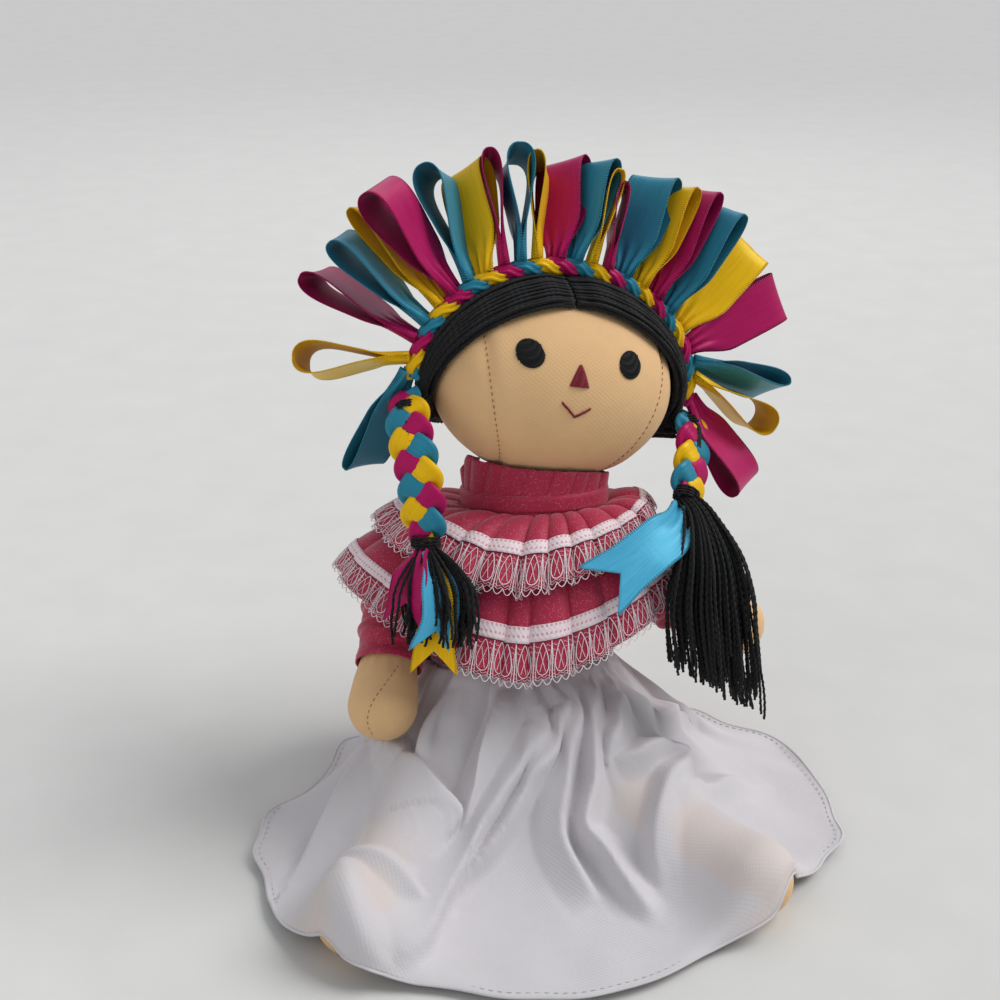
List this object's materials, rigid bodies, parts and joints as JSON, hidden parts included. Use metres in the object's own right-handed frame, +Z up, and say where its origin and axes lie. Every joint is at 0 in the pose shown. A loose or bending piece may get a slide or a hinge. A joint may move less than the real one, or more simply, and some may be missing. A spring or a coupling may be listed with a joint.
{
  "type": "cloth doll",
  "caption": "Seated stuffed cloth doll with plaits, a crown of ribbon loops, a ruffled blouse edged with lace and a gathered skirt; head, arms, legs and plaits move.",
  "frame": {"origin": "middle of the flat seat, on the floor", "axes": "+Z up, the doll faces -Y, its own left is +X"},
  "size_m": [0.1757, 0.1578, 0.1993],
  "materials": {
    "skin_cotton": "plain woven beige cotton",
    "stuffing": "loose white fibre",
    "pink_satin": "crimson pink satin cotton",
    "white_lace": "white lace edging",
    "white_cotton": "thin white cotton",
    "black_yarn": "black yarn",
    "red_thread": "dark red embroidery thread",
    "blue_ribbon": "blue satin ribbon",
    "yellow_ribbon": "yellow satin ribbon",
    "magenta_ribbon": "magenta satin ribbon"
  },
  "bodies": {
    "torso": {"torso_skin": "skin_cotton", "torso_stuffing": "stuffing", "blouse_bodice": "pink_satin", "neckband": "pink_satin", "collar_ruffle": "pink_satin", "upper_ruffle": "pink_satin", "upper_lace": "white_lace", "lower_ruffle": "pink_satin", "lower_lace": "white_lace", "skirt_waistband": "white_cotton", "skirt": "white_cotton"},
    "head": {"head_skin": "skin_cotton", "head_stuffing": "stuffing", "eye_right": "black_yarn", "eye_left": "black_yarn", "nose": "red_thread", "mouth": "red_thread", "hair_cap": "black_yarn", "headband": "magenta_ribbon", "ribbon_loop_01": "blue_ribbon", "ribbon_loop_02": "yellow_ribbon", "ribbon_loop_03": "magenta_ribbon", "ribbon_loop_04": "blue_ribbon", "ribbon_loop_05": "yellow_ribbon", "ribbon_loop_06": "magenta_ribbon", "ribbon_loop_07": "blue_ribbon", "ribbon_loop_08": "yellow_ribbon", "ribbon_loop_09": "magenta_ribbon", "ribbon_loop_10": "blue_ribbon", "ribbon_loop_11": "yellow_ribbon", "ribbon_loop_12": "magenta_ribbon", "ribbon_loop_13": "blue_ribbon", "ribbon_loop_14": "yellow_ribbon", "ribbon_loop_15": "magenta_ribbon", "ribbon_loop_16": "blue_ribbon", "ribbon_loop_17": "yellow_ribbon", "ribbon_loop_18": "magenta_ribbon", "ribbon_loop_19": "blue_ribbon", "ribbon_loop_20": "yellow_ribbon", "ribbon_loop_21": "magenta_ribbon", "ribbon_loop_22": "blue_ribbon", "ribbon_loop_23": "yellow_ribbon", "ribbon_loop_24": "magenta_ribbon"},
    "arm_right": {"arm_right_skin": "skin_cotton", "arm_right_stuffing": "stuffing", "sleeve_right": "pink_satin"},
    "arm_left": {"arm_left_skin": "skin_cotton", "arm_left_stuffing": "stuffing", "sleeve_left": "pink_satin"},
    "leg_right": {"leg_right_skin": "skin_cotton", "leg_right_stuffing": "stuffing"},
    "leg_left": {"leg_left_skin": "skin_cotton", "leg_left_stuffing": "stuffing"},
    "plait_right": {"braid_right": "magenta_ribbon", "tassel_right": "black_yarn", "ribbon_tail_blue_right": "blue_ribbon", "ribbon_tail_yellow_right": "yellow_ribbon"},
    "plait_left": {"braid_left": "magenta_ribbon", "tassel_left": "black_yarn", "ribbon_tail_blue_left": "blue_ribbon"}
  },
  "joints": [
    {"name": "head_nod", "type": "hinge", "parent": "torso", "child": "head", "pos_m": [0.007, 0.02141, 0.10075], "axis": [-1, 0, 0], "range_deg": [0, 8]},
    {"name": "shoulder_right", "type": "hinge", "parent": "torso", "child": "arm_right", "pos_m": [-0.03467, 0.01435, 0.06749], "axis": [0, 1, 0], "range_deg": [0, 40]},
    {"name": "shoulder_left", "type": "hinge", "parent": "torso", "child": "arm_left", "pos_m": [0.03467, 0.01435, 0.06749], "axis": [0, -1, 0], "range_deg": [-20, 4]},
    {"name": "hip_right", "type": "hinge", "parent": "torso", "child": "leg_right", "pos_m": [-0.02671, -0.02584, 0.012], "axis": [1, 0, 0], "range_deg": [0, 85]},
    {"name": "hip_left", "type": "hinge", "parent": "torso", "child": "leg_left", "pos_m": [0.02671, -0.02584, 0.012], "axis": [1, 0, 0], "range_deg": [0, 85]},
    {"name": "plait_right_swing", "type": "hinge", "parent": "head", "child": "plait_right", "pos_m": [-0.03159, 0.01185, 0.12934], "axis": [-1, 0, 0], "range_deg": [0, 30]},
    {"name": "plait_left_swing", "type": "hinge", "parent": "head", "child": "plait_left", "pos_m": [0.05329, 0.03431, 0.1102], "axis": [-1, 0, 0], "range_deg": [0, 30]}
  ]
}
